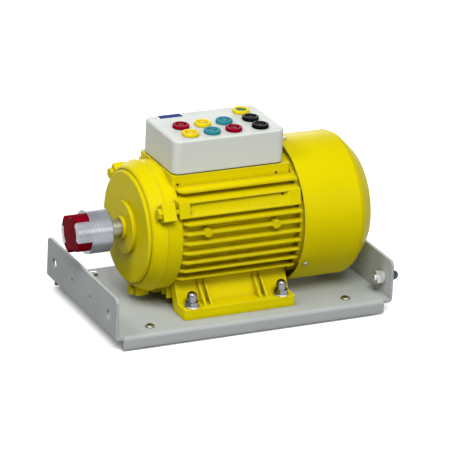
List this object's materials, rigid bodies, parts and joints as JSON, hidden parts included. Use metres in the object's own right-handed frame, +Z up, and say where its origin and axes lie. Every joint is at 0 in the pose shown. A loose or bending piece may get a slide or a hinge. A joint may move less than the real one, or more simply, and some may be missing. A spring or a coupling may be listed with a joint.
{
  "type": "demonstration electric motor",
  "caption": "Foot-mounted teaching motor on a bent-sheet base plate, with a finned frame, a fan cowl, a terminal box of safety sockets and half of a jaw coupling on its shaft.",
  "frame": {"origin": "middle of the outer box, at the level where the rubber feet stand", "axes": "+X along the shaft from the coupling to the fan cowl, +Y to the back, +Z up"},
  "size_m": [0.339, 0.179, 0.201],
  "materials": {
    "yellow_paint": "satin",
    "plate_paint": "satin",
    "rubber_black": "matte",
    "zinc_steel": "bright",
    "nut_chrome": "polished",
    "dark_steel": "polished",
    "bearing_steel": "ground",
    "core_steel": "laminated",
    "copper": "enamelled",
    "cast_aluminium": "cast",
    "turned_aluminium": "turned",
    "spider_red": "satin",
    "fan_plastic": "matte",
    "box_plastic": "fine grain",
    "red_plastic": "gloss",
    "yellow_plastic": "gloss",
    "teal_plastic": "gloss",
    "black_plastic": "gloss",
    "contact_nickel": "nickel plated"
  },
  "bodies": {
    "base": {"base_plate": "plate_paint", "end_flanges": "plate_paint", "rubber_feet": "rubber_black", "motor_bolts": "zinc_steel", "motor_washers": "zinc_steel", "cap_nuts": "nut_chrome", "locating_dowels": "dark_steel", "dowel_nuts": "zinc_steel", "dowel_washers": "zinc_steel", "motor_frame": "yellow_paint", "stator_core": "core_steel", "stator_winding": "copper", "drive_end_shield": "yellow_paint", "drive_end_bolts": "yellow_paint", "rear_end_shield": "yellow_paint", "rear_end_bolts": "zinc_steel", "bearing_outer_rings": "bearing_steel", "preload_spring": "bearing_steel", "shaft_seal": "rubber_black", "fan_cowl": "yellow_paint", "terminal_box": "box_plastic", "box_gasket": "rubber_black", "red_sockets": "red_plastic", "yellow_sockets": "yellow_plastic", "teal_sockets": "teal_plastic", "black_sockets": "black_plastic", "earth_socket": "yellow_plastic", "socket_contacts": "contact_nickel"},
    "rotor": {"shaft": "bearing_steel", "bearing_inner_rings": "bearing_steel", "rotor_core": "core_steel", "rotor_cage": "cast_aluminium", "cooling_fan": "fan_plastic", "coupling_key": "bearing_steel", "coupling_hub": "turned_aluminium", "coupling_set_screw": "dark_steel", "coupling_spider": "spider_red"},
    "cages": {"bearing_cages": "bearing_steel"}
  },
  "joints": [
    {"name": "rotor_spin", "type": "hinge", "parent": "base", "child": "rotor", "pos_m": [0, 0, 0.096], "axis": [1, 0, 0], "continuous": true},
    {"name": "cage_spin", "type": "hinge", "parent": "base", "child": "cages", "pos_m": [0, 0, 0.096], "axis": [1, 0, 0], "continuous": true}
  ],
  "couplings": [
    {"joint": "cage_spin", "follows": "rotor_spin", "ratio": 0.3815}
  ]
}
